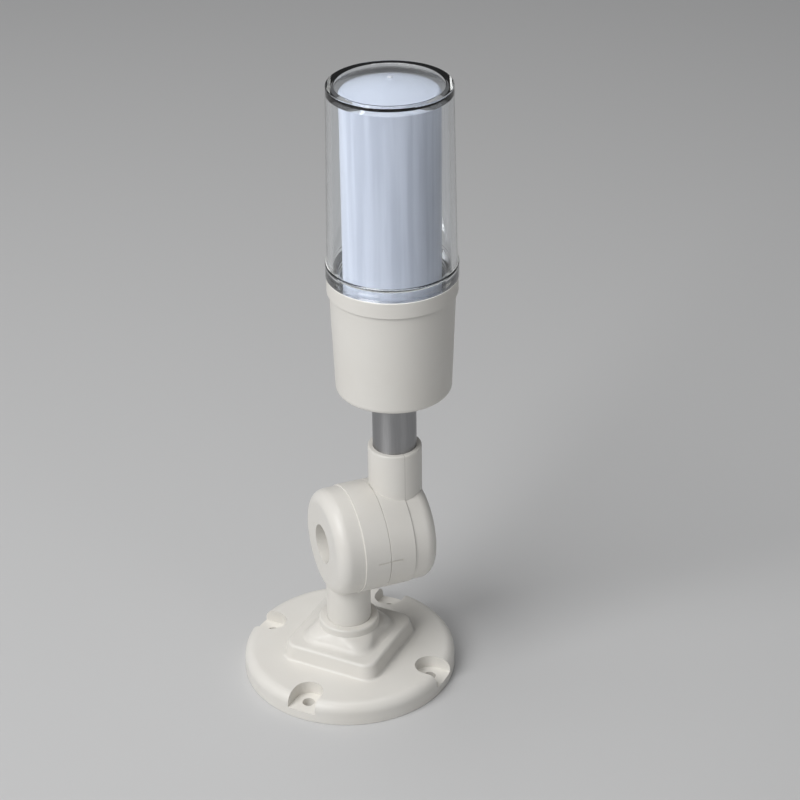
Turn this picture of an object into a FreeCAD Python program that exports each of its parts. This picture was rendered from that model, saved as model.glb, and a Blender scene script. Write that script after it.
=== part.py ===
"""Folding stack light: a lamp on a short pole, a clamped elbow joint and a round screw-down foot."""

import FreeCAD, Part
import math
import os

V = FreeCAD.Vector

# The origin is the middle of the foot's underside. +Z is up and the elbow turns about an axis along +X.

# Fits and clearances
slip_fit = 0.1              # radial play of a part pushed into a bore
thread_play = 0.05          # radial play left between a thread and its nut
running_gap = 0.3           # radial play between pieces that turn on each other
face_gap = 0.1              # axial play at a face that turns
seam_gap = 0.15             # open seam between the two halves of the elbow
lens_seat_gap = 0.15        # between the lens skirt and the housing's rim
well_gap = 0.5              # round the washer and nut under the foot
past = 1.0                  # how far a cutting body runs past the face that it opens

# Foot: a moulded flange, a square plinth and a round boss that holds the post
foot_diameter = 91.7
foot_turn = -2.7            # how far the foot stands turned on its post, in degrees
flange_thickness = 9.8
flange_edge_radius = 4.4
foot_bottom_edge = 0.3
foot_wall = 3.0
screw_inset = 7.15          # from the foot's rim to the middle of a screw
screw_count = 4
screw_hole = 5.3
screw_recess_width = 12.8
screw_recess_floor = 4.0
plinth_side = 44.8
plinth_corner = 5.5
plinth_height = 7.0
plinth_draft = 1.2
plinth_edge_radius = 1.4
foot_blend_radius = 1.2
flare_side = 31.6           # the flare's side where it rises from the plinth
flare_corner = 7.0
flare_waist_side = 27.2     # and part of the way up, where it is nearly round
flare_waist_corner = 8.5
flare_waist_height = 20.5
flare_foot_radius = 2.6     # where the flare runs out into the plinth
boss_diameter = 26.0
boss_height = 25.0
boss_band = 3.5             # plain cylinder above the flare
boss_edge_radius = 0.9
post_seat_depth = 10.0
foot_web = 4.0

# Elbow: two arms that meet at a flat clutch face and are drawn together by one bolt
arm_offset = 11.2           # from the clutch face to the post's or the pole's axis
drum_half_length = 22.3     # from the clutch face to a drum's outer end
drum_diameter = 47.1
drum_cap_step = 0.45        # how far the outer cap of each drum lies below its inner band
drum_end_radius = 5.5
drum_wall = 3.0
drum_edge_chamfer = 0.15
bolt_boss_diameter = 22.0
bolt_recess_diameter = 17.0
bolt_recess_depth = 16.0
nut_pocket_depth = 12.0
lip_height = 1.5
lip_wall = 1.3
post_diameter = 19.2
post_reach = 39.2           # from the boss's top to the elbow's axis
post_thread_diameter = 14.0
cable_bore = 10.0
socket_diameter = 22.8
socket_reach = 42.0         # from the elbow's axis to the socket's mouth
socket_edge_radius = 0.8
socket_shelf = 1.6
index_line_length = 5.5
index_line_width = 0.8
index_line_depth = 0.35
index_line_angle = -1.0     # below the horizontal, on the -Y side

# Elbow hardware
bolt_diameter = 8.0
bolt_head_flats = 13.0
bolt_head_height = 5.3
bolt_washer_diameter = 16.0
bolt_washer_thickness = 1.6
spring_washer_diameter = 14.0
spring_washer_thickness = 2.0
spring_washer_slit = 1.5
spring_washer_slant = 20.0
bolt_tip_chamfer = 0.8
bolt_head_chamfer = 1.1
bolt_end = 1.0              # thread left showing past the nut
joint_nut_height = 6.5
friction_disc_diameter = 20.0
friction_disc_thickness = 2.0

# Hardware under the foot
post_nut_flats = 20.0
post_nut_height = 5.0
post_washer_diameter = 24.0
post_washer_thickness = 1.2
post_thread_end = 0.8       # thread left showing past the nut

# Pole
pole_diameter = 18.5
pole_wall = 1.5
pole_exposed = 27.7         # between the socket's mouth and the housing
pole_screw_diameter = 3.0
pole_screw_head = 6.0
pole_screw_head_height = 1.8
pole_screw_head_radius = 1.1
pole_screw_cross = 3.3      # the cross recess: its span, its slot's width and its depth
pole_screw_slot = 0.9
pole_screw_recess = 0.9
pole_screw_drop = 8.0       # below the socket's mouth
pole_nut_flats = 24.0
pole_nut_height = 4.5
pole_washer_diameter = 27.0
pole_washer_thickness = 1.2
pole_thread_end = 1.0

# Housing
housing_height = 45.4       # from its underside to the step under the collar
housing_bottom_diameter = 48.1
housing_top_diameter = 51.5
housing_bottom_radius = 2.0
housing_wall = 2.4
housing_floor = 3.0
housing_hub_height = 3.0
collar_height = 6.9
collar_diameter = 53.4
collar_edge = 0.4
collar_bore = 48.2
groove_height = 0.5
groove_depth = 1.4
ledge_depth = 9.7           # from the collar's rim down to the diffuser's ledge
ledge_bore = 45.2
screw_post_diameter = 6.0
screw_post_circle = 35.0
screw_post_count = 3

# Lens
lens_height = 75.3          # from the skirt's shoulder to the top ring
lens_top_diameter = 50.0
lens_foot_diameter = 52.7
lens_top_bore = 45.8
lens_foot_bore = 48.0
skirt_height = 6.1
skirt_diameter = 54.0
skirt_edge_radius = 0.5
spigot_depth = 7.8
spigot_bore = 43.4
spigot_shoulder = 3.0       # height of the inner shoulder above the collar's rim
ring_inner_diameter = 43.4
ring_step = 1.2             # how far the top ring stands above the dome's edge
ring_edge_radius = 0.4
dome_rise = 4.0
dome_wall = 1.2
dome_corner = 1.5           # the chamfer inside, under the dome's rim

# Bayonet
lug_count = 3
lug_height = 2.0
lug_drop = 5.6              # from the collar's rim to the lug's underside
lug_reach = 1.1
lug_angle = 12.0
lug_play_angle = 1.5
lens_turn = 25.0
first_lug_angle = 30.0

# Seal
seal_section = 1.6
seal_drop = 1.7             # from the collar's rim to the seal's middle

# Diffuser
diffuser_diameter = 40.0
diffuser_wall = 1.4
diffuser_edge_radius = 2.2
diffuser_drop = 2.8         # from the lens ring's top to the diffuser's shoulder
diffuser_dome_rise = 2.6
diffuser_flange_thickness = 1.7

# Light engine
board_diameter = 42.0
board_thickness = 1.6
board_height = 24.0         # above the housing's underside
carrier_foot_diameter = 41.0
carrier_foot_thickness = 2.0
carrier_side_distance = 6.5     # from the lamp's axis to each face of the column
carrier_column_gap = 16.0       # from the column's top to the lens ring's top
carrier_bore = 6.0
led_board_width = 15.0
led_board_thickness = 1.2
led_board_margin = 4.0
led_board_drop = 1.0        # below the column's top
led_rows = 9
led_width = 3.5
led_length = 2.8
led_thickness = 0.9
header_width = 10.0
header_depth = 2.5
header_height = 3.0
board_screw_diameter = 2.5
board_screw_head = 5.0
board_screw_head_height = 1.6
board_screw_head_radius = 0.95
board_screw_length = 8.0
terminal_width = 15.0
terminal_depth = 7.0
terminal_height = 8.0
terminal_offset = 11.0
terminal_ways = 4
terminal_hole = 2.5
terminal_hole_depth = 3.2
capacitor_diameter = 6.3
capacitor_height = 7.0
capacitor_offset = 9.0
capacitor_spread = 9.0
capacitor_edge_radius = 0.5

# Places worked out from the sizes above
screw_circle = foot_diameter - 2 * screw_inset
plinth_top = flange_thickness + plinth_height
web_top = boss_height - post_seat_depth
web_bottom = web_top - foot_web
post_nut_top = web_bottom - post_washer_thickness
thread_bottom = post_nut_top - post_nut_height - post_thread_end
axis_height = boss_height + post_reach
socket_top = axis_height + socket_reach
housing_bottom = socket_top + pole_exposed
housing_step = housing_bottom + housing_height
collar_top = housing_step + collar_height
skirt_bottom = collar_top + lens_seat_gap
shoulder_height = collar_top + skirt_height
ring_top = shoulder_height + lens_height
ledge_height = collar_top - ledge_depth
board_bottom = housing_bottom + board_height
board_top = board_bottom + board_thickness
carrier_foot_top = board_top + carrier_foot_thickness
column_top = ring_top - carrier_column_gap
led_board_bottom = carrier_foot_top + header_height
led_board_top = column_top - led_board_drop

# Places along the elbow's axis
clutch_x = arm_offset
lamp_x = 2 * arm_offset
lower_end_x = clutch_x - drum_half_length
upper_end_x = clutch_x + drum_half_length
lower_face_x = clutch_x - seam_gap / 2
upper_face_x = clutch_x + seam_gap / 2
bolt_floor_x = lower_end_x + bolt_recess_depth
nut_floor_x = upper_end_x - nut_pocket_depth
bolt_head_x = bolt_floor_x - bolt_washer_thickness - spring_washer_thickness

# Radii shared by pieces that fit together
drum_radius = drum_diameter / 2
cap_radius = drum_radius - drum_cap_step
drum_bore_radius = cap_radius - drum_wall
bolt_boss_radius = bolt_boss_diameter / 2
post_radius = post_diameter / 2
pole_radius = pole_diameter / 2
pole_bore_radius = pole_radius - pole_wall
socket_radius = socket_diameter / 2
socket_bore_radius = pole_radius + slip_fit
socket_floor = axis_height + drum_bore_radius + socket_shelf
spigot_radius = collar_bore / 2 - running_gap
lug_radius = spigot_radius + lug_reach
channel_radius = lug_radius + running_gap
board_screw_radius = screw_post_circle / 2


def cylinder_z(radius, bottom, top, x=0.0, y=0.0):
    return Part.makeCylinder(radius, top - bottom, V(x, y, bottom), V(0, 0, 1))


def cylinder_x(radius, start, end, y=0.0, z=axis_height):
    return Part.makeCylinder(radius, end - start, V(start, y, z), V(1, 0, 0))


def tube_z(outer, inner, bottom, top, x=0.0):
    return cylinder_z(outer, bottom, top, x).cut(cylinder_z(inner, bottom - past, top + past, x))


def ring_x(outer, inner, start, end):
    return cylinder_x(outer, start, end).cut(cylinder_x(inner, start - past, end + past))


def prism(points, direction):
    """Extrudes a closed outline of straight sides."""
    return Part.Face(Part.makePolygon(points + points[:1])).extrude(direction)


def hexagon(flats, centre, side, up, direction):
    """A hexagonal prism; side and up span the plane of the hexagon."""
    corner = flats / math.sqrt(3)
    points = []
    for i in range(6):
        turn = math.radians(60 * i)
        points.append(centre + side * (corner * math.cos(turn)) + up * (corner * math.sin(turn)))
    return prism(points, direction)


def revolve(edges, x=0.0):
    """Turns a closed profile, drawn in the XZ plane as radius and height, about a vertical axis."""
    solid = Part.Face(Part.Wire(edges)).revolve(V(0, 0, 0), V(0, 0, 1), 360)
    solid.translate(V(x, 0, 0))
    return solid


def chain(points):
    """Straight edges through radius and height pairs."""
    corners = [V(r, 0, z) for r, z in points]
    return [Part.LineSegment(a, b).toShape() for a, b in zip(corners, corners[1:])]


def profile(points):
    """Straight edges through radius and height pairs, closed."""
    return chain(points + points[:1])


def cap_arc(reach, edge, crown):
    """A spherical cap's arc, from its rim at radius reach and height edge to its crown on the axis."""
    rise = crown - edge
    sphere = (reach * reach + rise * rise) / (2 * rise)
    half = math.asin(reach / sphere) / 2
    middle = V(sphere * math.sin(half), 0, crown - sphere + sphere * math.cos(half))
    return Part.Arc(V(reach, 0, edge), middle, V(0, 0, crown)).toShape()


def round_square(half_side, corner, height):
    """A square outline with its corners on the X and Y axes, rounded, as four sides and four arcs."""
    inner = half_side - corner
    sides = []
    for i in range(4):
        turn = math.radians(45 + 90 * i)
        out = V(math.cos(turn), math.sin(turn), 0)
        along = V(-math.sin(turn), math.cos(turn), 0)
        start = out * half_side - along * inner
        end = out * half_side + along * inner
        middle = (out * inner + along * inner) + (out + along) * (corner / math.sqrt(2))
        following = along * half_side + out * inner
        sides.append(Part.LineSegment(start, end).toShape())
        sides.append(Part.Arc(end, middle, following).toShape())
    outline = Part.Wire(sides)
    outline.translate(V(0, 0, height))
    return outline


def round_outline(radius, half_angle, height):
    """A circle cut into eight arcs that face the sides and corners of a rounded square."""
    arcs = []
    for i in range(4):
        middle = 45 + 90 * i
        side = (middle - half_angle, middle, middle + half_angle)
        corner = (middle + half_angle, middle + 45, middle + 90 - half_angle)
        for angles in (side, corner):
            ring = []
            for angle in angles:
                turn = math.radians(angle)
                ring.append(V(radius * math.cos(turn), radius * math.sin(turn), 0))
            arcs.append(Part.Arc(*ring).toShape())
    outline = Part.Wire(arcs)
    outline.translate(V(0, 0, height))
    return outline


def screw_positions():
    for i in range(screw_count):
        turn = math.radians(45 + 360 * i / screw_count)
        yield turn, screw_circle / 2 * math.cos(turn), screw_circle / 2 * math.sin(turn)


def turned_box(length, width, bottom, top, start, turn):
    """A box that runs outwards along a radius from start, at the angle turn."""
    box = Part.makeBox(length, width, top - bottom, V(start, -width / 2, bottom))
    box.rotate(V(0, 0, 0), V(0, 0, 1), math.degrees(turn))
    return box


def edges_at(shape, height, low=0.0, high=1e6):
    """Edges lying wholly at one height, whose middle is between two distances from the Z axis."""
    found = []
    for edge in shape.Edges:
        box = edge.BoundBox
        middle = edge.valueAt((edge.FirstParameter + edge.LastParameter) / 2)
        reach = math.hypot(middle.x, middle.y)
        if abs(box.ZMin - height) < 1e-3 and abs(box.ZMax - height) < 1e-3 and low < reach < high:
            found.append(edge)
    return found


def foot_outside():
    """The flange, the plinth and the flared boss, without their openings."""
    radius = foot_diameter / 2
    flange = cylinder_z(radius, 0, flange_thickness)
    flange = flange.makeFillet(flange_edge_radius, edges_at(flange, flange_thickness))
    flange = flange.makeFillet(foot_bottom_edge, edges_at(flange, 0))
    half = plinth_side / 2
    skirt = half + plinth_draft * foot_blend_radius / plinth_height
    plinth = Part.makeLoft(
        [round_square(skirt, plinth_corner, flange_thickness - foot_blend_radius),
         round_square(half - plinth_draft, plinth_corner, plinth_top)], True, True)
    plinth = plinth.makeFillet(plinth_edge_radius, edges_at(plinth, plinth_top))
    neck_top = boss_height - boss_band
    inner = flare_waist_side / 2 - flare_waist_corner
    half_angle = math.degrees(math.atan2(inner, flare_waist_side / 2))
    flare = Part.makeLoft(
        [round_square(flare_side / 2, flare_corner, plinth_top),
         round_square(flare_waist_side / 2, flare_waist_corner, flare_waist_height),
         round_outline(boss_diameter / 2, half_angle, neck_top)], True, False)
    boss = cylinder_z(boss_diameter / 2, neck_top, boss_height)
    boss = boss.makeFillet(boss_edge_radius, edges_at(boss, boss_height))
    solid = flange.fuse([plinth, flare, boss]).removeSplitter()
    flange_reach = radius - flange_edge_radius - past
    solid = solid.makeFillet(foot_blend_radius, edges_at(solid, flange_thickness, 0, flange_reach))
    flare_reach = flare_side / math.sqrt(2)
    return solid.makeFillet(flare_foot_radius, edges_at(solid, plinth_top, post_radius, flare_reach))


def foot_pocket():
    """The hollow underside: a ring under the flange, clear of its ribs and the screw pads."""
    radius = foot_diameter / 2
    low = -2 * past
    high = flange_thickness
    rib_start = post_washer_diameter / 2 + foot_wall
    pad_radius = screw_recess_width / 2 + foot_wall
    pocket = cylinder_z(radius - foot_wall, -past, flange_thickness - foot_wall)
    for turn, x, y in screw_positions():
        pocket = pocket.cut(cylinder_z(pad_radius, low, high, x, y))
        pocket = pocket.cut(turned_box(radius, 2 * pad_radius, low, high, screw_circle / 2, turn))
        pocket = pocket.cut(turned_box(radius, foot_wall, low, high, rib_start, turn))
        between = turn + math.pi / screw_count
        pocket = pocket.cut(turned_box(radius, foot_wall, low, high, rib_start, between))
    return pocket


def foot():
    radius = foot_diameter / 2
    well = cylinder_z(post_washer_diameter / 2 + well_gap, -past, web_bottom)
    solid = foot_outside().cut(foot_pocket().fuse(well))
    # seat for the post and the hole for its threaded end
    solid = solid.cut(cylinder_z(post_radius + slip_fit, web_top, boss_height + past))
    solid = solid.cut(cylinder_z(post_thread_diameter / 2 + slip_fit, web_bottom - past, web_top + past))
    high = flange_thickness + past
    for turn, x, y in screw_positions():
        recess = cylinder_z(screw_recess_width / 2, screw_recess_floor, high, x, y)
        mouth = turned_box(radius, screw_recess_width, screw_recess_floor, high, screw_circle / 2, turn)
        solid = solid.cut(recess.fuse(mouth))
        solid = solid.cut(cylinder_z(screw_hole / 2, -past, flange_thickness, x, y))
    solid.rotate(V(0, 0, 0), V(0, 0, 1), foot_turn)
    return solid


def drum(end_x, face_x, middle_x):
    """One half of the elbow's drum: a cap with a rounded end and a slightly larger inner band."""
    cap = cylinder_x(cap_radius, min(end_x, middle_x), max(end_x, middle_x))
    rim = [e for e in cap.Edges if max(abs(e.BoundBox.XMin - end_x), abs(e.BoundBox.XMax - end_x)) < 1e-3]
    cap = cap.makeFillet(drum_end_radius, rim)
    band = cylinder_x(drum_radius, min(face_x, middle_x), max(face_x, middle_x))
    ends = [e for e in band.Edges if e.BoundBox.XLength < 1e-3]
    band = band.makeChamfer(drum_edge_chamfer, ends)
    return cap.fuse(band)


def drum_cavity(end_x, face_x):
    """The wiring space round the bolt boss, open at the clutch face."""
    floor_x = end_x + math.copysign(drum_wall, face_x - end_x)
    open_x = face_x + math.copysign(past, face_x - end_x)
    start_x = min(floor_x, open_x)
    stop_x = max(floor_x, open_x)
    return ring_x(drum_bore_radius, bolt_boss_radius, start_x, stop_x)


def index_line(x):
    """A fine engraved line on the drum that shows how far the elbow is turned."""
    line = Part.makeBox(index_line_length, index_line_depth * 2, index_line_width,
                        V(x, -drum_radius - index_line_depth, axis_height - index_line_width / 2))
    line.rotate(V(0, 0, axis_height), V(1, 0, 0), -index_line_angle)
    return line


def lower_arm():
    solid = drum(lower_end_x, lower_face_x, 0.0)
    solid = solid.fuse(cylinder_z(post_radius, web_top, axis_height))
    solid = solid.fuse(cylinder_z(post_thread_diameter / 2, thread_bottom, web_top))
    solid = solid.cut(drum_cavity(lower_end_x, lower_face_x))
    # the lip enters the other arm and keeps the two drums in line
    lip_radius = drum_bore_radius + lip_wall
    solid = solid.fuse(ring_x(lip_radius, drum_bore_radius, lower_face_x - lip_height, clutch_x + lip_height))
    solid = solid.cut(cylinder_x(bolt_recess_diameter / 2, lower_end_x - past, bolt_floor_x))
    solid = solid.cut(cylinder_x(bolt_diameter / 2 + slip_fit, lower_end_x, upper_end_x))
    solid = solid.cut(cylinder_x(bolt_boss_radius, clutch_x - friction_disc_thickness / 2, clutch_x + past))
    bore_top = axis_height - bolt_boss_radius - slip_fit
    solid = solid.cut(cylinder_z(cable_bore / 2, thread_bottom - past, bore_top))
    return solid.cut(index_line(lower_face_x - index_line_length)).removeSplitter()


def upper_arm():
    solid = drum(upper_end_x, upper_face_x, lamp_x)
    socket = cylinder_z(socket_radius, axis_height, socket_top, lamp_x)
    rim = [e for e in socket.Edges if e.BoundBox.ZMin > socket_top - 1e-3]
    solid = solid.fuse(socket.makeFillet(socket_edge_radius, rim))
    # the socket is slightly wider than the space beside the clutch face, so it is cut back flush with it
    solid = solid.cut(cylinder_x(drum_radius + running_gap, clutch_x - past, upper_face_x))
    solid = solid.cut(drum_cavity(upper_end_x, upper_face_x))
    # room for the other arm's lip
    lip_radius = drum_bore_radius + lip_wall + running_gap
    lip_floor_x = clutch_x + lip_height + running_gap
    solid = solid.cut(ring_x(lip_radius, bolt_boss_radius, clutch_x - past, lip_floor_x))
    pocket = hexagon(bolt_head_flats + 2 * slip_fit, V(nut_floor_x, 0, axis_height),
                     V(0, 1, 0), V(0, 0, 1), V(nut_pocket_depth + past, 0, 0))
    solid = solid.cut(pocket)
    solid = solid.cut(cylinder_x(bolt_diameter / 2 + running_gap, clutch_x - past, upper_end_x))
    solid = solid.cut(cylinder_x(bolt_boss_radius, clutch_x - past, clutch_x + friction_disc_thickness / 2))
    solid = solid.cut(cylinder_z(socket_bore_radius, socket_floor, socket_top + past, lamp_x))
    bore_bottom = axis_height + bolt_boss_radius + slip_fit
    solid = solid.cut(cylinder_z(cable_bore / 2, bore_bottom, socket_top, lamp_x))
    screw_place = V(lamp_x, 0, socket_top - pole_screw_drop)
    solid = solid.cut(Part.makeCylinder(pole_screw_diameter / 2, socket_diameter, screw_place, V(0, 1, 0)))
    return solid.cut(index_line(upper_face_x)).removeSplitter()


def friction_disc():
    start = clutch_x - friction_disc_thickness / 2
    return ring_x(friction_disc_diameter / 2, bolt_diameter / 2 + slip_fit, start,
                  start + friction_disc_thickness - face_gap)


def joint_bolt():
    tip_x = nut_floor_x + joint_nut_height + bolt_end
    shank = cylinder_x(bolt_diameter / 2, bolt_head_x, tip_x)
    tip = [e for e in shank.Edges if e.BoundBox.XMin > tip_x - 1e-3]
    shank = shank.makeChamfer(bolt_tip_chamfer, tip)
    outer_x = bolt_head_x - bolt_head_height
    head = hexagon(bolt_head_flats, V(bolt_head_x, 0, axis_height), V(0, 1, 0), V(0, 0, 1),
                   V(-bolt_head_height, 0, 0))
    crown = cylinder_x(bolt_head_flats / 2 + bolt_tip_chamfer, outer_x, bolt_head_x)
    outer = [e for e in crown.Edges if e.BoundBox.XMax < outer_x + 1e-3]
    crown = crown.makeChamfer(bolt_head_chamfer, outer)
    return head.common(crown).fuse(shank)


def bolt_washer():
    start = bolt_floor_x - bolt_washer_thickness
    return ring_x(bolt_washer_diameter / 2, bolt_diameter / 2 + slip_fit, start, bolt_floor_x)


def spring_washer():
    end = bolt_head_x + spring_washer_thickness
    ring = ring_x(spring_washer_diameter / 2, bolt_diameter / 2 + slip_fit, bolt_head_x, end)
    slit = Part.makeBox(spring_washer_thickness * 2, spring_washer_slit, spring_washer_diameter,
                        V(bolt_head_x - spring_washer_thickness / 2, -spring_washer_slit / 2, axis_height))
    slit.rotate(V(bolt_head_x, 0, axis_height), V(0, 0, 1), spring_washer_slant)
    return ring.cut(slit)


def joint_nut():
    end = nut_floor_x + joint_nut_height
    nut = hexagon(bolt_head_flats, V(nut_floor_x, 0, axis_height), V(0, 1, 0), V(0, 0, 1),
                  V(joint_nut_height, 0, 0))
    return nut.cut(cylinder_x(bolt_diameter / 2 + slip_fit, nut_floor_x - past, end + past))


def post_nut():
    bottom = post_nut_top - post_nut_height
    nut = hexagon(post_nut_flats, V(0, 0, bottom), V(1, 0, 0), V(0, 1, 0), V(0, 0, post_nut_height))
    return nut.cut(cylinder_z(post_thread_diameter / 2 + thread_play, bottom - past, post_nut_top + past))


def post_washer():
    return tube_z(post_washer_diameter / 2, post_thread_diameter / 2 + slip_fit, post_nut_top, web_bottom)


def pole_end():
    """Height of the pole's threaded top end inside the housing."""
    nut_top = housing_bottom + housing_floor + housing_hub_height + pole_washer_thickness + pole_nut_height
    return nut_top + pole_thread_end


def pole():
    tube = tube_z(pole_radius, pole_bore_radius, socket_floor, pole_end(), lamp_x)
    hole = Part.makeCylinder(pole_screw_diameter / 2, pole_diameter,
                             V(lamp_x, 0, socket_top - pole_screw_drop), V(0, 1, 0))
    return tube.cut(hole)


def pole_screw():
    height = socket_top - pole_screw_drop
    start = pole_bore_radius - pole_wall
    end = socket_radius + pole_screw_head_height
    along = V(0, 1, 0)
    shank = Part.makeCylinder(pole_screw_diameter / 2 - thread_play, socket_radius + thread_play - start,
                              V(lamp_x, start, height), along)
    seat = V(lamp_x, socket_radius, height)
    head = Part.makeCylinder(pole_screw_head / 2, pole_screw_head_height, seat, along)
    rim = [e for e in head.Edges if e.BoundBox.YMin > end - 1e-3]
    head = head.makeFillet(pole_screw_head_radius, rim)
    for length, width in ((pole_screw_cross, pole_screw_slot), (pole_screw_slot, pole_screw_cross)):
        corner = V(lamp_x - length / 2, end - pole_screw_recess, height - width / 2)
        head = head.cut(Part.makeBox(length, pole_screw_head_height, width, corner))
    return head.fuse(shank)


def pole_washer():
    bottom = housing_bottom + housing_floor + housing_hub_height
    top = bottom + pole_washer_thickness
    return tube_z(pole_washer_diameter / 2, pole_radius + slip_fit, bottom, top, lamp_x)


def pole_nut():
    bottom = housing_bottom + housing_floor + housing_hub_height + pole_washer_thickness
    nut = hexagon(pole_nut_flats, V(lamp_x, 0, bottom), V(1, 0, 0), V(0, 1, 0), V(0, 0, pole_nut_height))
    top = bottom + pole_nut_height
    return nut.cut(cylinder_z(pole_radius + thread_play, bottom - past, top + past, lamp_x))


def board_screw_places():
    for i in range(screw_post_count):
        turn = math.radians(90 + 360 * i / screw_post_count)
        yield lamp_x + board_screw_radius * math.cos(turn), board_screw_radius * math.sin(turn)


def sector(radius, bottom, top, start_angle, end_angle):
    """A wedge of a disc about the lamp's axis, between two angles in degrees."""
    wedge = Part.makeCylinder(radius, top - bottom, V(0, 0, bottom), V(0, 0, 1), end_angle - start_angle)
    wedge.rotate(V(0, 0, 0), V(0, 0, 1), start_angle)
    wedge.translate(V(lamp_x, 0, 0))
    return wedge


def lug_angles():
    for i in range(lug_count):
        yield first_lug_angle + 360 * i / lug_count


def housing():
    bottom_radius = housing_bottom_diameter / 2
    top_radius = housing_top_diameter / 2
    collar_radius = collar_diameter / 2
    outer = revolve(profile([
        (0, housing_bottom), (bottom_radius, housing_bottom), (top_radius, housing_step - groove_height),
        (top_radius - groove_depth, housing_step - groove_height), (top_radius - groove_depth, housing_step),
        (collar_radius, housing_step), (collar_radius, collar_top - collar_edge),
        (collar_radius - collar_edge, collar_top), (0, collar_top)]))
    outer = outer.makeFillet(housing_bottom_radius, edges_at(outer, housing_bottom))
    floor_height = housing_bottom + housing_floor
    hub_top = floor_height + housing_hub_height
    inner = revolve(profile([
        (pole_washer_diameter / 2, floor_height), (bottom_radius - housing_wall, floor_height),
        (ledge_bore / 2, ledge_height), (collar_bore / 2, ledge_height), (collar_bore / 2, collar_top + past),
        (0, collar_top + past), (0, hub_top), (pole_washer_diameter / 2, hub_top)]))
    solid = outer.cut(inner)
    solid = solid.cut(cylinder_z(pole_radius + slip_fit, housing_bottom - past, hub_top + past))
    solid.translate(V(lamp_x, 0, 0))
    pilot_bottom = board_bottom - board_screw_length
    for x, y in board_screw_places():
        solid = solid.fuse(cylinder_z(screw_post_diameter / 2, housing_bottom + past, board_bottom, x, y))
        solid = solid.cut(cylinder_z(board_screw_diameter / 2, pilot_bottom, board_bottom + past, x, y))
    play = lug_angle / 2 + lug_play_angle
    low = collar_top - lug_drop - running_gap
    high = low + lug_height + 2 * running_gap
    for angle in lug_angles():
        solid = solid.cut(sector(channel_radius, low, high, angle - play, angle + lens_turn + play))
        way_in = angle + lens_turn
        solid = solid.cut(sector(channel_radius, low, collar_top + past, way_in - play, way_in + play))
    return solid.removeSplitter()


def lens():
    spigot_bottom = collar_top - spigot_depth
    shoulder = collar_top + spigot_shoulder
    foot_radius = lens_foot_diameter / 2
    top_radius = lens_top_diameter / 2
    ring_radius = ring_inner_diameter / 2
    bore_low = lens_foot_bore / 2
    bore_high = lens_top_bore / 2
    spigot_inner = spigot_bore / 2
    ceiling_reach = bore_high - dome_corner
    dome_edge = ring_top - ring_step
    inner_edge = dome_edge - dome_wall
    skirt_radius = skirt_diameter / 2
    dome_apex = dome_edge + dome_rise
    inner_apex = dome_apex - dome_wall
    outside = chain([
        (spigot_inner, spigot_bottom), (spigot_radius, spigot_bottom), (spigot_radius, skirt_bottom),
        (skirt_radius, skirt_bottom), (skirt_radius, shoulder_height), (foot_radius, shoulder_height),
        (top_radius, ring_top), (ring_radius, ring_top), (ring_radius, dome_edge)])
    inside = chain([
        (ceiling_reach, inner_edge), (bore_high, inner_edge - dome_corner),
        (bore_low, shoulder + bore_low - spigot_inner), (spigot_inner, shoulder),
        (spigot_inner, spigot_bottom)])
    dome = cap_arc(ring_radius, dome_edge, dome_apex)
    ceiling = cap_arc(ceiling_reach, inner_edge, inner_apex)
    middle = chain([(0, dome_apex), (0, inner_apex)])
    solid = revolve(outside + [dome] + middle + [ceiling] + inside)
    solid = solid.makeFillet(skirt_edge_radius, edges_at(solid, shoulder_height, foot_radius + slip_fit))
    solid = solid.makeFillet(ring_edge_radius, edges_at(solid, ring_top))
    groove_radius = seal_radius() - seal_section / 2
    groove_bottom = collar_top - seal_drop - seal_section / 2
    groove_top = groove_bottom + seal_section
    solid = solid.cut(tube_z(spigot_radius + past, groove_radius, groove_bottom, groove_top))
    solid.translate(V(lamp_x, 0, 0))
    low = collar_top - lug_drop
    core = cylinder_z(spigot_radius - lens_seat_gap, low - past, low + lug_height + past, lamp_x)
    for angle in lug_angles():
        lug = sector(lug_radius, low, low + lug_height, angle - lug_angle / 2, angle + lug_angle / 2)
        solid = solid.fuse(lug.cut(core))
    return solid.removeSplitter()


def seal_radius():
    """Radius of the seal's centre line: its outside just clears the collar's bore."""
    return collar_bore / 2 - slip_fit - seal_section / 2


def lens_seal():
    return Part.makeTorus(seal_radius(), seal_section / 2, V(lamp_x, 0, collar_top - seal_drop), V(0, 0, 1))


def cup(reach, low, edge, crown):
    """A closed cup: a straight wall, a rounded shoulder and a shallow dome."""
    flat = reach - diffuser_edge_radius
    turn = edge - diffuser_edge_radius
    bulge = diffuser_edge_radius / math.sqrt(2)
    side = chain([(0, low), (reach, low), (reach, turn)])
    corner = Part.Arc(V(reach, 0, turn), V(flat + bulge, 0, turn + bulge), V(flat, 0, edge)).toShape()
    return revolve(side + [corner, cap_arc(flat, edge, crown)] + chain([(0, crown), (0, low)]))


def diffuser():
    radius = diffuser_diameter / 2
    inner = radius - diffuser_wall
    shoulder = ring_top - diffuser_drop
    flange_radius = collar_bore / 2 - 2 * slip_fit
    flange_top = ledge_height + diffuser_flange_thickness

    crown = shoulder + diffuser_dome_rise
    solid = cup(radius, ledge_height, shoulder, crown)
    solid = solid.fuse(cylinder_z(flange_radius, ledge_height, flange_top))
    solid = solid.cut(cup(inner, ledge_height - past, shoulder - diffuser_wall, crown - diffuser_wall))
    solid.translate(V(lamp_x, 0, 0))
    return solid


def driver_board():
    disc = cylinder_z(board_diameter / 2, board_bottom, board_top, lamp_x)
    hole = board_screw_diameter / 2 + slip_fit
    for x, y in board_screw_places():
        disc = disc.cut(cylinder_z(hole, board_bottom - past, board_top + past, x, y))
    return disc


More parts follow.
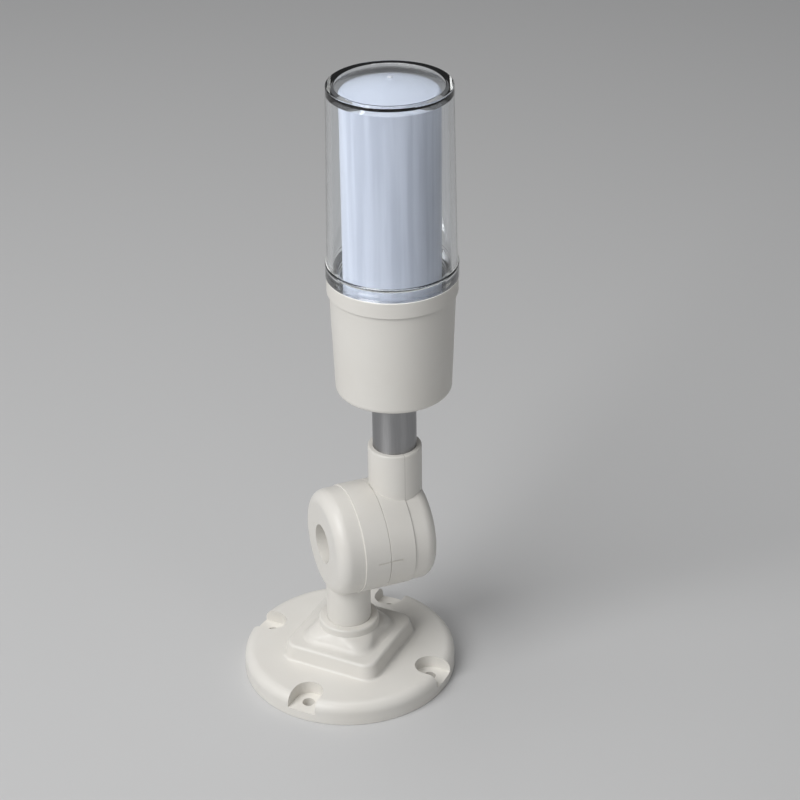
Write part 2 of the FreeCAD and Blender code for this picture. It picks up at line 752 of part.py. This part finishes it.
def board_screws():
    screws = []
    shank_bottom = board_bottom - board_screw_length + past
    head_top = carrier_foot_top + board_screw_head_height
    for x, y in board_screw_places():
        shank = cylinder_z(board_screw_diameter / 2 - thread_play, shank_bottom, carrier_foot_top, x, y)
        head = cylinder_z(board_screw_head / 2, carrier_foot_top, head_top, x, y)
        rim = [e for e in head.Edges if e.BoundBox.ZMin > head_top - 1e-3]
        head = head.makeFillet(board_screw_head_radius, rim)
        screws.append(head.fuse(shank))
    return Part.makeCompound(screws)


def led_carrier():
    """A round foot and a three-sided column, cored through to carry the heat away."""
    foot_disc = cylinder_z(carrier_foot_diameter / 2, board_top, carrier_foot_top, lamp_x)
    hole = board_screw_diameter / 2 + slip_fit
    for x, y in board_screw_places():
        foot_disc = foot_disc.cut(cylinder_z(hole, board_top - past, carrier_foot_top + past, x, y))
    corner = carrier_side_distance * 2
    points = []
    for i in range(3):
        turn = math.radians(60 + 120 * i)
        points.append(V(lamp_x + corner * math.cos(turn), corner * math.sin(turn), board_top))
    column = prism(points, V(0, 0, column_top - board_top))
    limit = cylinder_z(math.hypot(carrier_side_distance, led_board_width / 2), board_top, column_top, lamp_x)
    solid = foot_disc.fuse(column.common(limit))
    return solid.cut(cylinder_z(carrier_bore / 2, board_top - past, column_top + past, lamp_x))


def on_face(shape, index):
    """Puts a piece made on the +X face of the column onto one of its three faces."""
    shape.rotate(V(0, 0, 0), V(0, 0, 1), 120 * index)
    shape.translate(V(lamp_x, 0, 0))
    return shape


def led_board(index):
    board = Part.makeBox(led_board_thickness, led_board_width, led_board_top - led_board_bottom,
                         V(carrier_side_distance, -led_board_width / 2, led_board_bottom))
    return on_face(board, index)


def led_headers():
    blocks = []
    for i in range(3):
        block = Part.makeBox(header_depth, header_width, header_height,
                             V(carrier_side_distance, -header_width / 2, carrier_foot_top))
        blocks.append(on_face(block, i))
    return Part.makeCompound(blocks)


def led_chips():
    chips = []
    span = led_board_top - led_board_bottom - 2 * led_board_margin
    face = carrier_side_distance + led_board_thickness
    for i in range(3):
        for row in range(led_rows):
            height = led_board_bottom + led_board_margin + span * row / (led_rows - 1)
            corner = V(face, -led_width / 2, height - led_length / 2)
            chips.append(on_face(Part.makeBox(led_thickness, led_width, led_length, corner), i))
    return Part.makeCompound(chips)


def terminal_block():
    """Screw terminals under the board, where the pole brings the leads in."""
    bottom = board_bottom - terminal_height
    start = lamp_x - terminal_width / 2
    pitch = terminal_width / terminal_ways
    block = Part.makeBox(terminal_width, terminal_depth, terminal_height,
                         V(start, -terminal_offset - terminal_depth / 2, bottom))
    for i in range(terminal_ways):
        x = start + pitch * (i + 0.5)
        block = block.cut(cylinder_z(terminal_hole / 2, bottom - past, bottom + terminal_hole_depth, x,
                                     -terminal_offset))
    return block


def capacitors():
    cans = []
    bottom = board_bottom - capacitor_height
    for side in (-1, 1):
        x = lamp_x + side * capacitor_spread
        can = cylinder_z(capacitor_diameter / 2, bottom, board_bottom, x, capacitor_offset)
        rim = [e for e in can.Edges if e.BoundBox.ZMax < bottom + 1e-3]
        cans.append(can.makeFillet(capacitor_edge_radius, rim))
    return Part.makeCompound(cans)


def build():
    pieces = {
        "foot": foot(),
        "lower_arm": lower_arm(),
        "post_washer": post_washer(),
        "post_nut": post_nut(),
        "friction_disc": friction_disc(),
        "joint_bolt": joint_bolt(),
        "bolt_washer": bolt_washer(),
        "spring_washer": spring_washer(),
        "upper_arm": upper_arm(),
        "joint_nut": joint_nut(),
        "pole": pole(),
        "pole_screw": pole_screw(),
        "pole_washer": pole_washer(),
        "pole_nut": pole_nut(),
        "housing": housing(),
        "driver_board": driver_board(),
        "board_screws": board_screws(),
        "terminal_block": terminal_block(),
        "capacitors": capacitors(),
        "led_carrier": led_carrier(),
        "led_headers": led_headers(),
        "led_chips": led_chips(),
        "diffuser": diffuser(),
        "lens": lens(),
        "lens_seal": lens_seal(),
    }
    for i in range(3):
        pieces["led_board_" + str(i + 1)] = led_board(i)
    return pieces


os.makedirs("parts", exist_ok=True)
for name, shape in build().items():
    shape.exportStep("parts/" + name + ".step")
    print(name, "valid" if shape.isValid() else "INVALID", len(shape.Solids), round(shape.Volume / 1000, 3))
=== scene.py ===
import math

import bmesh
import bpy
from mathutils import Euler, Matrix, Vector


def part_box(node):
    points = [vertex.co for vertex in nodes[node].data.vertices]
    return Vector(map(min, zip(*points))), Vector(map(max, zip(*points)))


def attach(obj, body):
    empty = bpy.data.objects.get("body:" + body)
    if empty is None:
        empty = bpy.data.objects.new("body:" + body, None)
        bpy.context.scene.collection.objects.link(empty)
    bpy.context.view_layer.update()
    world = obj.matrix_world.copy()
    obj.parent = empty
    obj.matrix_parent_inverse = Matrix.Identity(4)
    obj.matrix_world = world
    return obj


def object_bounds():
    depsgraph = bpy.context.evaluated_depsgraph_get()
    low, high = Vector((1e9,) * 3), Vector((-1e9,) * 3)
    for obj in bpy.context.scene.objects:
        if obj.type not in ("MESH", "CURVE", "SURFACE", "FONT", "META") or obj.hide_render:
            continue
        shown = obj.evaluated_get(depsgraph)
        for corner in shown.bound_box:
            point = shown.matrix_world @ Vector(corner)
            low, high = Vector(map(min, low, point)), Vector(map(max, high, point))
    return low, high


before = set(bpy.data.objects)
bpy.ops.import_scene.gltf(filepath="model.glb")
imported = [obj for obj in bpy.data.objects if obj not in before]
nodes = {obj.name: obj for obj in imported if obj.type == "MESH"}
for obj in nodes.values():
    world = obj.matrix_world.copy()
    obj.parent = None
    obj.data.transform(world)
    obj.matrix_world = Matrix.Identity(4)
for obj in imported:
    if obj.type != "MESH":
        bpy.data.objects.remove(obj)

cad_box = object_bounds()


# ---------------------------------------------------------------- foot
# The foot is one injection moulding in warm white ABS: a round flange with four open screw recesses,
# a square plinth and a boss for the post. It is held down by four screws through the recesses.

abs_shade = (0.790, 0.765, 0.715, 1.0)
abs_light = (0.815, 0.795, 0.750, 1.0)
abs_stops = (0.30, 0.70)
abs_cloud_scale = 42.0
abs_cloud_detail = 3.0
abs_patch_scale = 336.0
abs_smoother = 0.05
abs_rougher = 0.06
abs_grain_scale = 2600.0
abs_grain_strength = 0.5
abs_grain_height = 0.000012
abs_offset = (1.0, 0.7, 0.3)
foot_roughness = 0.40


def fresh_finish(name):
    """A new finish, with its node tree."""
    finish = bpy.data.materials.new(name)
    finish.use_nodes = True
    return finish, finish.node_tree


def surface_of(tree):
    """The shader that a finish works on."""
    return tree.nodes["Principled BSDF"]


def on_the_piece(tree, reading="Object"):
    """Places or directions read on the piece itself, so that a pattern moves with it."""
    return tree.nodes.new("ShaderNodeTexCoord").outputs[reading]


def mottle(tree, place, scale, detail=2.0):
    """A soft, irregular pattern over those places."""
    pattern = tree.nodes.new("ShaderNodeTexNoise")
    pattern.inputs["Scale"].default_value = scale
    pattern.inputs["Detail"].default_value = detail
    tree.links.new(place, pattern.inputs["Vector"])
    return pattern.outputs["Fac"]


def two_tone(tree, pattern, shade, light, stops):
    """Colours the finish between two tones, which meet between two stops of the pattern."""
    tones = tree.nodes.new("ShaderNodeValToRGB")
    for element, stop, tone in zip(tones.color_ramp.elements, stops, (shade, light)):
        element.position = stop
        element.color = tone
    tree.links.new(pattern, tones.inputs["Fac"])
    tree.links.new(tones.outputs["Color"], surface_of(tree).inputs["Base Color"])


def gloss_drift(tree, pattern, smoothest, roughest):
    """Lets the roughness drift with the pattern."""
    gloss = tree.nodes.new("ShaderNodeMapRange")
    gloss.inputs["To Min"].default_value = smoothest
    gloss.inputs["To Max"].default_value = roughest
    tree.links.new(pattern, gloss.inputs["Value"])
    tree.links.new(gloss.outputs["Result"], surface_of(tree).inputs["Roughness"])


def relief(tree, pattern, height, strength=1.0):
    """Raises the finish with the pattern, up to a height."""
    bump = tree.nodes.new("ShaderNodeBump")
    bump.inputs["Strength"].default_value = strength
    bump.inputs["Distance"].default_value = height
    tree.links.new(pattern, bump.inputs["Height"])
    tree.links.new(bump.outputs["Normal"], surface_of(tree).inputs["Normal"])


def moulded_abs(name, roughness, batch):
    """Warm white ABS from a lightly sparked mould: faint clouding, fine grain and a satin gloss.

    Each moulding has its own batch, which shifts the pattern.
    """
    finish, tree = fresh_finish(name)
    shift = tree.nodes.new("ShaderNodeMapping")
    shift.inputs["Location"].default_value = [batch * share for share in abs_offset]
    tree.links.new(on_the_piece(tree), shift.inputs["Vector"])
    place = shift.outputs["Vector"]
    two_tone(tree, mottle(tree, place, abs_cloud_scale, abs_cloud_detail), abs_shade, abs_light, abs_stops)
    patches = mottle(tree, place, abs_patch_scale)
    gloss_drift(tree, patches, roughness - abs_smoother, roughness + abs_rougher)
    relief(tree, mottle(tree, place, abs_grain_scale), abs_grain_height, abs_grain_strength)
    return finish


def dress(node, finish):
    """Gives a carried-over node its finish."""
    for slot in nodes[node].material_slots:
        slot.material = finish


dress("foot", moulded_abs("foot_abs", foot_roughness, batch=0.0))


# ---------------------------------------------------------------- lower arm and elbow hardware
# The lower half of the elbow is an ABS moulding with its post in one piece. The post stands in the boss
# and is drawn down by a plated steel nut and washer under the foot. One bolt draws the two halves together.

arm_roughness = 0.38
zinc_dull = (0.46, 0.46, 0.45, 1.0)
zinc_bright = (0.62, 0.62, 0.60, 1.0)
zinc_stops = (0.35, 0.65)
zinc_spangle_scale = 900.0
zinc_spangle_detail = 3.0
zinc_smoothest = 0.24
zinc_roughest = 0.38
thread_pitch = 0.00125
thread_root_radius = 0.0033
thread_length = 0.010
thread_height = 0.6 * thread_pitch


def plated_steel(name):
    """Bright zinc plating over turned or pressed steel."""
    finish, tree = fresh_finish(name)
    surface_of(tree).inputs["Metallic"].default_value = 1.0
    spangle = mottle(tree, on_the_piece(tree), zinc_spangle_scale, zinc_spangle_detail)
    two_tone(tree, spangle, zinc_dull, zinc_bright, zinc_stops)
    gloss_drift(tree, spangle, zinc_smoothest, zinc_roughest)
    return finish


def cut_thread(finish, tip, to_upright):
    """Grooves a finish with the bolt's thread, outside its root radius and over its length from the tip.

    The turn to_upright brings the thread's axis upright about the tip.
    """
    tree = finish.node_tree
    link = tree.links.new
    upright = tree.nodes.new("ShaderNodeVectorRotate")
    upright.rotation_type = "EULER_XYZ"
    upright.inputs["Center"].default_value = tip
    upright.inputs["Rotation"].default_value = to_upright
    link(on_the_piece(tree), upright.inputs["Vector"])
    from_tip = tree.nodes.new("ShaderNodeVectorMath")
    from_tip.operation = "SUBTRACT"
    from_tip.inputs[1].default_value = tip
    link(upright.outputs["Vector"], from_tip.inputs[0])
    parts = tree.nodes.new("ShaderNodeSeparateXYZ")
    link(from_tip.outputs["Vector"], parts.inputs["Vector"])

    def reckon(operation, first, second):
        """One step of arithmetic on sockets or plain numbers."""
        step = tree.nodes.new("ShaderNodeMath")
        step.operation = operation
        for socket, value in zip(step.inputs, (first, second)):
            if isinstance(value, float):
                socket.default_value = value
            else:
                link(value, socket)
        return step.outputs["Value"]

    angle = reckon("ARCTAN2", parts.outputs["Y"], parts.outputs["X"])
    turns = reckon("DIVIDE", parts.outputs["Z"], thread_pitch)
    helix = reckon("ADD", turns, reckon("DIVIDE", angle, math.tau))
    ridge = reckon("PINGPONG", helix, 0.5)
    near = reckon("LESS_THAN", reckon("ABSOLUTE", parts.outputs["Z"], 0.0), thread_length)
    across = reckon("POWER", parts.outputs["X"], 2.0)
    deep = reckon("POWER", parts.outputs["Y"], 2.0)
    outside = reckon("GREATER_THAN", reckon("ADD", across, deep), thread_root_radius ** 2)
    relief(tree, reckon("MULTIPLY", ridge, reckon("MULTIPLY", near, outside)), thread_height)
    return finish


dress("lower_arm", moulded_abs("lower_arm_abs", arm_roughness, batch=0.31))
zinc = plated_steel("zinc_plate")
for piece in ("post_washer", "post_nut", "bolt_washer", "spring_washer", "joint_nut"):
    dress(piece, zinc)

bolt_low, bolt_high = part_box("joint_bolt")
bolt_tip = (bolt_high[0], (bolt_low[1] + bolt_high[1]) / 2, (bolt_low[2] + bolt_high[2]) / 2)
quarter_about_y = (0, math.pi / 2, 0)
dress("joint_bolt", cut_thread(plated_steel("bolt_steel"), bolt_tip, quarter_about_y))


# ---------------------------------------------------------------- friction disc
# A ring of pressed fibre sits between the two bolt bosses. Drawn tight by the bolt, it holds the elbow
# at any angle.

fibre_dark = (0.060, 0.035, 0.020, 1.0)
fibre_light = (0.140, 0.085, 0.050, 1.0)
fibre_fleck_scale = 1800.0
fibre_roughness = 0.85
fibre_stops = (0.0, 1.0)


def patterned(name, shade, light, scale, roughness, stops=(0.4, 0.6)):
    """A plain finish with a small variation between two tones."""
    finish, tree = fresh_finish(name)
    surface_of(tree).inputs["Roughness"].default_value = roughness
    two_tone(tree, mottle(tree, on_the_piece(tree), scale), shade, light, stops)
    return finish


fibre = patterned("pressed_fibre", fibre_dark, fibre_light, fibre_fleck_scale, fibre_roughness, fibre_stops)
dress("friction_disc", fibre)


# ---------------------------------------------------------------- upper arm
# The upper half of the elbow is an ABS moulding with the pole's socket in one piece. It swings on the bolt
# and clamps against the lower half. Its mould parted in the plane of the socket's axis.

parting_tone = (0.50, 0.48, 0.44, 1.0)
parting_half_width = 0.00007


def tone_over(finish, mask, tone):
    """Lays a tone over a finish's own colours wherever the mask says."""
    tree = finish.node_tree
    base = surface_of(tree).inputs["Base Color"]
    blend = tree.nodes.new("ShaderNodeMix")
    blend.data_type = "RGBA"
    blend.inputs["B"].default_value = tone
    tree.links.new(mask, blend.inputs["Factor"])
    tree.links.new(base.links[0].from_socket, blend.inputs["A"])
    tree.links.new(blend.outputs["Result"], base)


def line_across(finish, axis, level, half_width, tone):
    """Draws a narrow band across an axis, as at a mould's parting line or as painted shade in a groove."""
    tree = finish.node_tree
    parts = tree.nodes.new("ShaderNodeSeparateXYZ")
    tree.links.new(on_the_piece(tree), parts.inputs["Vector"])
    within = tree.nodes.new("ShaderNodeMath")
    within.operation = "COMPARE"
    within.inputs[1].default_value = level
    within.inputs[2].default_value = half_width
    tree.links.new(parts.outputs[axis], within.inputs[0])
    tone_over(finish, within.outputs["Value"], tone)
    return finish


pole_low, pole_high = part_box("pole")
parting_place = (pole_low[0] + pole_high[0]) / 2
arm_abs = moulded_abs("upper_arm_abs", arm_roughness, batch=0.57)
dress("upper_arm", line_across(arm_abs, "X", parting_place, parting_half_width, parting_tone))


# ---------------------------------------------------------------- pole
# The pole is an aluminium tube, brushed round and satin anodised. It stands in the socket, pinned by one
# cross screw, and its threaded top end is nutted inside the housing.

anodised_dark = (0.36, 0.36, 0.367, 1.0)
anodised_light = (0.42, 0.42, 0.428, 1.0)
anodised_stops = (0.3, 0.7)
anodised_smoothest = 0.30
anodised_roughest = 0.36
brush_spread = 0.9
brush_turn = 0.25
brush_scale = 5000.0
brush_stretch = (1.0, 1.0, 0.02)
brush_strength = 0.4
brush_height = 0.000003

anodised, pole_tree = fresh_finish("satin_anodised")
pole_shader = surface_of(pole_tree)
pole_shader.inputs["Metallic"].default_value = 1.0
pole_shader.inputs["Anisotropic"].default_value = brush_spread
pole_shader.inputs["Anisotropic Rotation"].default_value = brush_turn
around = pole_tree.nodes.new("ShaderNodeTangent")
around.direction_type = "RADIAL"
around.axis = "Z"
pole_tree.links.new(around.outputs["Tangent"], pole_shader.inputs["Tangent"])
pole_stretch = pole_tree.nodes.new("ShaderNodeMapping")
pole_stretch.inputs["Scale"].default_value = brush_stretch
pole_tree.links.new(on_the_piece(pole_tree), pole_stretch.inputs["Vector"])
brush_lines = mottle(pole_tree, pole_stretch.outputs["Vector"], brush_scale)
two_tone(pole_tree, brush_lines, anodised_dark, anodised_light, anodised_stops)
gloss_drift(pole_tree, brush_lines, anodised_smoothest, anodised_roughest)
relief(pole_tree, brush_lines, brush_height, brush_strength)
dress("pole", anodised)
for piece in ("pole_screw", "pole_washer", "pole_nut"):
    dress(piece, zinc)


# ---------------------------------------------------------------- housing
# The housing is a tapered ABS cup with a fine groove under its collar. The collar holds the lens by three
# bayonet channels cut in its bore.

housing_roughness = 0.42
collar_height = 0.0069      # from the rim down to the groove
groove_height = 0.0005
# painted shade: this dark tone stands in for the shadow in the groove under the collar
groove_painted_shade = (0.20, 0.19, 0.17, 1.0)

housing_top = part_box("housing")[1][2]
groove_middle = housing_top - collar_height - groove_height / 2
housing_abs = moulded_abs("housing_abs", housing_roughness, batch=0.83)
# the groove under the collar is painted dark as shade
dress("housing", line_across(housing_abs, "Z", groove_middle, groove_height / 2, groove_painted_shade))


# ---------------------------------------------------------------- driver board and its parts
# A round glass-fibre board sits on three posts in the housing, held down by three self-tapping screws. The
# screw terminals and two capacitors are soldered to its underside.

board_green = (0.010, 0.085, 0.035, 1.0)
board_track = (0.020, 0.150, 0.065, 1.0)
terminal_dark = (0.02, 0.11, 0.05, 1.0)
terminal_light = (0.03, 0.14, 0.07, 1.0)
sleeve_dark = (0.015, 0.015, 0.018, 1.0)
sleeve_light = (0.030, 0.030, 0.035, 1.0)

board_mask = patterned("board_mask", board_green, board_track, scale=420.0, roughness=0.35)
terminal_nylon = patterned("terminal_nylon", terminal_dark, terminal_light, scale=300.0, roughness=0.5)
can_sleeve = patterned("can_sleeve", sleeve_dark, sleeve_light, scale=500.0, roughness=0.35)
dress("driver_board", board_mask)
dress("terminal_block", terminal_nylon)
dress("capacitors", can_sleeve)
dress("board_screws", zinc)


# ---------------------------------------------------------------- light column
# A triangular column of white nylon, screwed down with the driver board, carries three light boards. Each
# has nine chips and plugs into a header at its foot.

column_shade = (0.72, 0.72, 0.70, 1.0)
column_white = (0.78, 0.78, 0.76, 1.0)
header_shade = (0.60, 0.58, 0.50, 1.0)
header_cream = (0.66, 0.64, 0.56, 1.0)
phosphor_deep = (0.72, 0.60, 0.12, 1.0)
phosphor_pale = (0.80, 0.68, 0.18, 1.0)
mask_shade = (0.74, 0.75, 0.74, 1.0)
mask_white = (0.80, 0.81, 0.80, 1.0)

column_nylon = patterned("column_nylon", column_shade, column_white, scale=120.0, roughness=0.5)
header_nylon = patterned("header_nylon", header_shade, header_cream, scale=300.0, roughness=0.5)
chip_phosphor = patterned("chip_phosphor", phosphor_deep, phosphor_pale, scale=700.0, roughness=0.3)
light_board_mask = patterned("light_board_mask", mask_shade, mask_white, scale=200.0, roughness=0.4)
dress("led_carrier", column_nylon)
dress("led_headers", header_nylon)
dress("led_chips", chip_phosphor)
for number in (1, 2, 3):
    dress("led_board_" + str(number), light_board_mask)


# ---------------------------------------------------------------- diffuser
# The diffuser is a moulded cup of opal polycarbonate with a slightly domed top. It rests with its flange
# on a ledge in the housing. Its wall shows faint upright flow lines. The dome, where the surface faces up,
# is painted a darker plain shade that hides them.

opal_shade = (0.475, 0.510, 0.590, 1.0)
opal_light = (0.570, 0.605, 0.685, 1.0)
# painted shade for the upward-facing dome
opal_dome_painted_shade = (0.455, 0.485, 0.550, 1.0)
opal_stops = (0.38, 0.62)
opal_roughness = 0.32
opal_softness = 1.0
flow_scale = 330.0
flow_detail = 3.0
flow_stretch = (1.0, 1.0, 0.04)
# the painted dome shade grows between these two slopes
wall_slope = 0.4            # how far up a surface faces where its lines start to fade
dome_slope = 0.9            # and where they are gone

cup_low, cup_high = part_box("diffuser")
lamp_axis = ((cup_low[0] + cup_high[0]) / 2, (cup_low[1] + cup_high[1]) / 2)

opal, opal_tree = fresh_finish("opal_cup")
opal_shader = surface_of(opal_tree)
opal_shader.inputs["Roughness"].default_value = opal_roughness
opal_shader.inputs["Diffuse Roughness"].default_value = opal_softness
opal_stretch = opal_tree.nodes.new("ShaderNodeMapping")
opal_stretch.inputs["Location"].default_value = (-lamp_axis[0], -lamp_axis[1], 0.0)
opal_stretch.inputs["Scale"].default_value = flow_stretch
opal_tree.links.new(on_the_piece(opal_tree), opal_stretch.inputs["Vector"])
flow_lines = mottle(opal_tree, opal_stretch.outputs["Vector"], flow_scale, flow_detail)
two_tone(opal_tree, flow_lines, opal_shade, opal_light, opal_stops)

facing = opal_tree.nodes.new("ShaderNodeSeparateXYZ")
opal_tree.links.new(on_the_piece(opal_tree, "Normal"), facing.inputs["Vector"])
dome_shade_share = opal_tree.nodes.new("ShaderNodeMapRange")
dome_shade_share.inputs["From Min"].default_value = wall_slope
dome_shade_share.inputs["From Max"].default_value = dome_slope
opal_tree.links.new(facing.outputs["Z"], dome_shade_share.inputs["Value"])
# painted shade: where the surface faces up, on the dome, it is coloured darker
tone_over(opal, dome_shade_share.outputs["Result"], opal_dome_painted_shade)
dress("diffuser", opal)


# ---------------------------------------------------------------- lens and seal
# The lens is one clear acrylic moulding with a drafted wall, a skirt and three bayonet lugs. A round
# silicone seal sits in a groove above the lugs. A frosted spot on the lens's crown is left from its gate.
# It is coloured an opaque whitish tone as a painted highlight for its glint.

acrylic_tint = (0.96, 0.975, 0.99, 1.0)
acrylic_index = 1.49
acrylic_smoothest = 0.01
acrylic_roughest = 0.04
acrylic_smear_scale = 60.0
acrylic_smear_detail = 4.0
acrylic_shadow = (0.93, 0.94, 0.95, 1.0)

acrylic, lens_tree = fresh_finish("clear_acrylic")
lens_shader = surface_of(lens_tree)
lens_shader.inputs["Base Color"].default_value = acrylic_tint
lens_shader.inputs["Transmission Weight"].default_value = 1.0
lens_shader.inputs["IOR"].default_value = acrylic_index
smear = mottle(lens_tree, on_the_piece(lens_tree), acrylic_smear_scale, acrylic_smear_detail)
gloss_drift(lens_tree, smear, acrylic_smoothest, acrylic_roughest)

# lamps shine through the lens onto what it covers
open_way = lens_tree.nodes.new("ShaderNodeBsdfTransparent")
open_way.inputs["Color"].default_value = acrylic_shadow
paths = lens_tree.nodes.new("ShaderNodeLightPath")
either = lens_tree.nodes.new("ShaderNodeMixShader")
lens_tree.links.new(paths.outputs["Is Shadow Ray"], either.inputs["Fac"])
lens_tree.links.new(lens_shader.outputs["BSDF"], either.inputs[1])
lens_tree.links.new(open_way.outputs["BSDF"], either.inputs[2])
lens_tree.links.new(either.outputs["Shader"], lens_tree.nodes["Material Output"].inputs["Surface"])
dress("lens", acrylic)

gate_radius = 0.0010
gate_rise = 0.00035
gate_around = 24
gate_rings = 12
# painted highlight: opaque whitish tones on the frosted gate spot stand in for its glint
gate_shade = (0.66, 0.69, 0.74, 1.0)
gate_glint_white = (0.78, 0.81, 0.86, 1.0)

lens_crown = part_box("lens")[1][2]
gate_form = bmesh.new()
bmesh.ops.create_uvsphere(gate_form, u_segments=gate_around, v_segments=gate_rings, radius=gate_radius)
bmesh.ops.scale(gate_form, vec=(1.0, 1.0, gate_rise / gate_radius), verts=gate_form.verts)
gate_mesh = bpy.data.meshes.new("gate_mark")
gate_form.to_mesh(gate_mesh)
gate_form.free()
for facet in gate_mesh.polygons:
    facet.use_smooth = True
gate_frost_and_glint = patterned("frosted_acrylic_and_painted_glint", gate_shade, gate_glint_white, scale=900.0, roughness=0.35)
gate_mesh.materials.append(gate_frost_and_glint)
gate_mark = bpy.data.objects.new("gate_mark", gate_mesh)
gate_mark.location = (lamp_axis[0], lamp_axis[1], lens_crown)
bpy.context.scene.collection.objects.link(gate_mark)
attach(gate_mark, "lens")

silicone_shade = (0.52, 0.52, 0.50, 1.0)
silicone_pale = (0.58, 0.58, 0.56, 1.0)

dress("lens_seal", patterned("silicone", silicone_shade, silicone_pale, scale=800.0, roughness=0.5))


# ---------------------------------------------------------------- studio
# A pale painted floor under three soft lamps: a large one on the left, a weak one on the right and one
# above, in an even pale surround.

floor_reach = 4.0
floor_tone = (0.60, 0.60, 0.60, 1.0)
floor_roughness = 0.7
surround_tone = (0.62, 0.63, 0.65, 1.0)
surround_strength = 0.18

floor_corners = [
    (-floor_reach, -floor_reach, 0),
    (floor_reach, -floor_reach, 0),
    (floor_reach, floor_reach, 0),
    (-floor_reach, floor_reach, 0),
]
floor_mesh = bpy.data.meshes.new("floor")
floor_mesh.from_pydata(floor_corners, [], [(0, 1, 2, 3)])
floor = bpy.data.objects.new("floor", floor_mesh)
bpy.context.scene.collection.objects.link(floor)
floor_paint, floor_tree = fresh_finish("floor_paint")
floor_shader = surface_of(floor_tree)
floor_shader.inputs["Base Color"].default_value = floor_tone
floor_shader.inputs["Roughness"].default_value = floor_roughness
floor_mesh.materials.append(floor_paint)

surround = bpy.data.worlds.new("surround")
surround.use_nodes = True
surround_shader = surround.node_tree.nodes["Background"]
surround_shader.inputs["Color"].default_value = surround_tone
surround_shader.inputs["Strength"].default_value = surround_strength
bpy.context.scene.world = surround

middle = (Vector(cad_box[0]) + Vector(cad_box[1])) / 2
# the camera's turn about +Z, from looking along +Y
sight_turn = -0.37219
sight_right = Vector((math.cos(sight_turn), math.sin(sight_turn), 0))
sight_ahead = Vector((-math.sin(sight_turn), math.cos(sight_turn), 0))


def softbox(name, right, ahead, up, width, tall, watts):
    """A rectangular soft lamp, placed from the object's middle and aimed at it."""
    lamp = bpy.data.lights.new(name, "AREA")
    lamp.shape = "RECTANGLE"
    lamp.size = width
    lamp.size_y = tall
    lamp.energy = watts
    holder = bpy.data.objects.new(name, lamp)
    holder.location = middle + sight_right * right + sight_ahead * ahead + Vector((0, 0, up))
    holder.rotation_euler = (holder.location - middle).to_track_quat("Z", "Y").to_euler()
    bpy.context.scene.collection.objects.link(holder)


softbox("key_softbox", right=-1.0, ahead=-0.9, up=1.15, width=1.2, tall=1.2, watts=24.0)
softbox("fill_softbox", right=1.0, ahead=-1.0, up=0.5, width=0.5, tall=0.9, watts=1.0)
softbox("top_softbox", right=-0.1, ahead=0.1, up=1.4, width=0.8, tall=0.8, watts=7.0)


# ---------------------------------------------------------------- camera
# A long lens on a tripod looks down at the front of the stack light, a little from its left. It has no
# depth of field.

camera_place = (-0.27041, -0.75695, 0.59498)
camera_pitch = 0.51814
camera_roll = -0.01264

camera_data = bpy.data.cameras.new("camera")
camera_data.sensor_width = 36.0
camera_data.lens = 101.48
camera_data.shift_y = -0.0133
camera_data.clip_start = 0.01
camera_data.clip_end = 50.0
camera = bpy.data.objects.new("camera", camera_data)
camera.location = camera_place
tilted = Euler((math.pi / 2 - camera_pitch, 0, sight_turn)).to_matrix()
rolled = Euler((0, 0, camera_roll)).to_matrix()
camera.rotation_euler = (tilted @ rolled).to_euler()
bpy.context.scene.collection.objects.link(camera)
bpy.context.scene.camera = camera
bpy.context.scene.view_settings.view_transform = "Standard"
